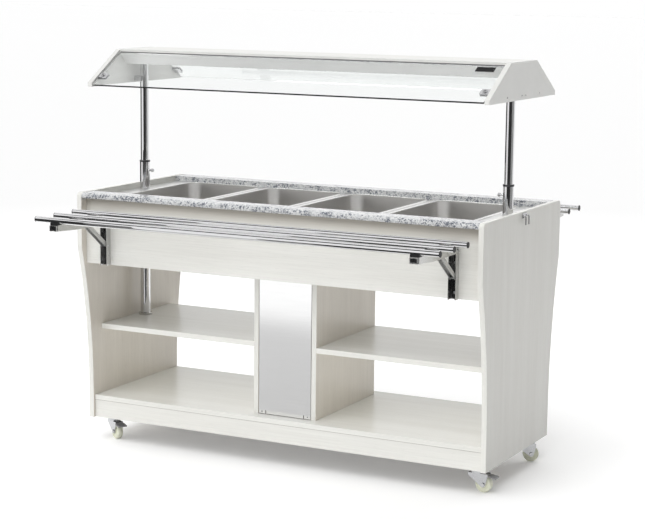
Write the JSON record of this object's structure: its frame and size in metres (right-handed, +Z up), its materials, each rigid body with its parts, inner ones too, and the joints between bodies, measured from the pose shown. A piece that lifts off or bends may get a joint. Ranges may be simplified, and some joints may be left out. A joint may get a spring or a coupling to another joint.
{
  "type": "hot buffet counter",
  "caption": "Free-standing heated buffet counter on casters: lift-out pans in a water bath, a height-adjustable lamp canopy with sneeze glass, and folding tray slides on both sides.",
  "frame": {"origin": "on the floor under the middle of the counter", "axes": "+X along the counter's length to the right as seen from the front, +Y from the front to the rear with its controls, +Z up"},
  "size_m": [1.569, 1.292, 1.401],
  "materials": {
    "oak_board": "bleached oak decor, satin, fine grain",
    "softwood": "planed softwood",
    "granite": "polished speckled grey granite",
    "stainless": "brushed stainless steel",
    "element_sheath": "dull heat-coloured sheath",
    "brass_fitting": "turned brass",
    "lever_steel": "zinc plated",
    "black_plastic": "moulded, satin black",
    "dark_collar": "moulded, satin black",
    "rocker_plastic": "gloss black",
    "pilot_lens": "clear amber",
    "chrome_tube": "polished chrome",
    "white_gloss": "gloss white laminate",
    "white_sheet": "satin white",
    "quartz": "frosted quartz tube and white ceramic holders",
    "clear_glass": "clear, polished edges",
    "bracket_steel": "bright steel",
    "zinc": "zinc plated",
    "nylon": "cream nylon"
  },
  "bodies": {
    "counter": {"side_panel_left": "oak_board", "side_panel_right": "oak_board", "bottom_deck": "oak_board", "fascias": "oak_board", "carcass_battens": "softwood", "shelves": "oak_board", "partitions": "oak_board", "access_panel_front": "stainless", "control_panel_rear": "stainless", "aprons": "oak_board", "granite_rails": "granite", "steel_deck": "stainless", "bain_marie_tank": "stainless", "heating_element": "element_sheath", "divider_bars": "stainless", "drain_valve": "brass_fitting", "cable_gland": "black_plastic", "pilot_lamp": "pilot_lens", "control_gear": "black_plastic", "post_sleeves": "chrome_tube", "sleeve_collars": "dark_collar", "bracket_rails": "bracket_steel", "bracket_pins": "zinc", "side_hooks": "chrome_tube", "caster_plates": "zinc"},
    "canopy": {"canopy_posts": "chrome_tube", "canopy_ends": "white_gloss", "canopy_top": "white_gloss", "lamp_housing": "white_sheet", "heat_lamps": "quartz", "glass_panes": "clear_glass", "canopy_fittings": "chrome_tube"},
    "clamp_knob_left": {"clamp_knob_left": "chrome_tube"},
    "clamp_knob_right": {"clamp_knob_right": "chrome_tube"},
    "tray_front": {"tray_arms_front": "bracket_steel", "tray_tubes_front": "chrome_tube", "tray_caps_front": "black_plastic"},
    "struts_front": {"tray_struts_front": "bracket_steel"},
    "tray_rear": {"tray_arms_rear": "bracket_steel", "tray_tubes_rear": "chrome_tube", "tray_caps_rear": "black_plastic"},
    "struts_rear": {"tray_struts_rear": "bracket_steel"},
    "gn_pan_1": {"gn_pan_1": "stainless"},
    "gn_pan_2": {"gn_pan_2": "stainless"},
    "gn_pan_3": {"gn_pan_3": "stainless"},
    "gn_pan_4": {"gn_pan_4": "stainless"},
    "caster_front_left": {"caster_fork_front_left": "zinc"},
    "wheel_front_left": {"caster_wheel_front_left": "nylon"},
    "brake_pedal_left": {"brake_pedal_left": "black_plastic"},
    "caster_front_right": {"caster_fork_front_right": "zinc"},
    "wheel_front_right": {"caster_wheel_front_right": "nylon"},
    "brake_pedal_right": {"brake_pedal_right": "black_plastic"},
    "caster_rear_left": {"caster_fork_rear_left": "zinc"},
    "wheel_rear_left": {"caster_wheel_rear_left": "nylon"},
    "caster_rear_right": {"caster_fork_rear_right": "zinc"},
    "wheel_rear_right": {"caster_wheel_rear_right": "nylon"},
    "thermostat_knob": {"thermostat_knob": "black_plastic"},
    "heat_switch": {"heat_switch": "rocker_plastic"},
    "lamp_switch": {"lamp_switch": "rocker_plastic"},
    "drain_lever": {"drain_lever": "lever_steel"}
  },
  "joints": [
    {"name": "canopy_height", "type": "slide", "parent": "counter", "child": "canopy", "axis": [0, 0, 1], "range_m": [-0.12, 0.12]},
    {"name": "clamp_left_turn", "type": "hinge", "parent": "counter", "child": "clamp_knob_left", "pos_m": [-0.6897, 0, 0.958], "axis": [-1, 0, 0], "range_deg": [0, 360]},
    {"name": "clamp_right_turn", "type": "hinge", "parent": "counter", "child": "clamp_knob_right", "pos_m": [0.6897, 0, 0.958], "axis": [1, 0, 0], "range_deg": [0, 360]},
    {"name": "tray_front_fold", "type": "hinge", "parent": "counter", "child": "tray_front", "pos_m": [0, -0.3365, 0.819], "axis": [1, 0, 0], "range_deg": [0, 90]},
    {"name": "struts_front_fold", "type": "hinge", "parent": "counter", "child": "struts_front", "pos_m": [0, -0.3365, 0.725], "axis": [1, 0, 0], "range_deg": [0, 127]},
    {"name": "tray_rear_fold", "type": "hinge", "parent": "counter", "child": "tray_rear", "pos_m": [0, 0.3365, 0.819], "axis": [-1, 0, 0], "range_deg": [0, 90]},
    {"name": "struts_rear_fold", "type": "hinge", "parent": "counter", "child": "struts_rear", "pos_m": [0, 0.3365, 0.725], "axis": [-1, 0, 0], "range_deg": [0, 127]},
    {"name": "pan_1_lift", "type": "slide", "parent": "counter", "child": "gn_pan_1", "axis": [0, 0, 1], "range_m": [0, 0.2]},
    {"name": "pan_2_lift", "type": "slide", "parent": "counter", "child": "gn_pan_2", "axis": [0, 0, 1], "range_m": [0, 0.2]},
    {"name": "pan_3_lift", "type": "slide", "parent": "counter", "child": "gn_pan_3", "axis": [0, 0, 1], "range_m": [0, 0.2]},
    {"name": "pan_4_lift", "type": "slide", "parent": "counter", "child": "gn_pan_4", "axis": [0, 0, 1], "range_m": [0, 0.2]},
    {"name": "caster_front_left_swivel", "type": "hinge", "parent": "counter", "child": "caster_front_left", "pos_m": [-0.712, -0.212, 0.0757], "axis": [0, 0, 1], "continuous": true},
    {"name": "wheel_front_left_spin", "type": "hinge", "parent": "caster_front_left", "child": "wheel_front_left", "pos_m": [-0.6908, -0.22525, 0.0275], "axis": [0.5299, 0.848, 0], "continuous": true},
    {"name": "brake_left_press", "type": "hinge", "parent": "caster_front_left", "child": "brake_pedal_left", "pos_m": [-0.68147, -0.23108, 0.0592], "axis": [0.5299, 0.848, 0], "range_deg": [0, 12]},
    {"name": "caster_front_right_swivel", "type": "hinge", "parent": "counter", "child": "caster_front_right", "pos_m": [0.712, -0.212, 0.0757], "axis": [0, 0, 1], "continuous": true},
    {"name": "wheel_front_right_spin", "type": "hinge", "parent": "caster_front_right", "child": "wheel_front_right", "pos_m": [0.737, -0.212, 0.0275], "axis": [0, 1, 0], "continuous": true},
    {"name": "brake_right_press", "type": "hinge", "parent": "caster_front_right", "child": "brake_pedal_right", "pos_m": [0.748, -0.212, 0.0592], "axis": [0, 1, 0], "range_deg": [0, 12]},
    {"name": "caster_rear_left_swivel", "type": "hinge", "parent": "counter", "child": "caster_rear_left", "pos_m": [-0.712, 0.212, 0.0757], "axis": [0, 0, 1], "continuous": true},
    {"name": "wheel_rear_left_spin", "type": "hinge", "parent": "caster_rear_left", "child": "wheel_rear_left", "pos_m": [-0.73365, 0.2245, 0.0275], "axis": [-0.5, -0.866, 0], "continuous": true},
    {"name": "caster_rear_right_swivel", "type": "hinge", "parent": "counter", "child": "caster_rear_right", "pos_m": [0.712, 0.212, 0.0757], "axis": [0, 0, 1], "continuous": true},
    {"name": "wheel_rear_right_spin", "type": "hinge", "parent": "caster_rear_right", "child": "wheel_rear_right", "pos_m": [0.73365, 0.2245, 0.0275], "axis": [-0.5, 0.866, 0], "continuous": true},
    {"name": "thermostat_turn", "type": "hinge", "parent": "counter", "child": "thermostat_knob", "pos_m": [0.045, 0.2303, 0.557], "axis": [0, -1, 0], "range_deg": [0, 270]},
    {"name": "heat_switch_rock", "type": "hinge", "parent": "counter", "child": "heat_switch", "pos_m": [-0.015, 0.227, 0.557], "axis": [1, 0, 0], "range_deg": [0, 20]},
    {"name": "lamp_switch_rock", "type": "hinge", "parent": "counter", "child": "lamp_switch", "pos_m": [-0.052, 0.227, 0.557], "axis": [1, 0, 0], "range_deg": [0, 20]},
    {"name": "drain_lever_turn", "type": "hinge", "parent": "counter", "child": "drain_lever", "pos_m": [0, 0.262, 0.2713], "axis": [0, 0, 1], "range_deg": [0, 90]}
  ],
  "couplings": [
    {"joint": "struts_front_fold", "follows": "tray_front_fold", "ratio": 1.4097},
    {"joint": "struts_rear_fold", "follows": "tray_rear_fold", "ratio": 1.4097}
  ]
}
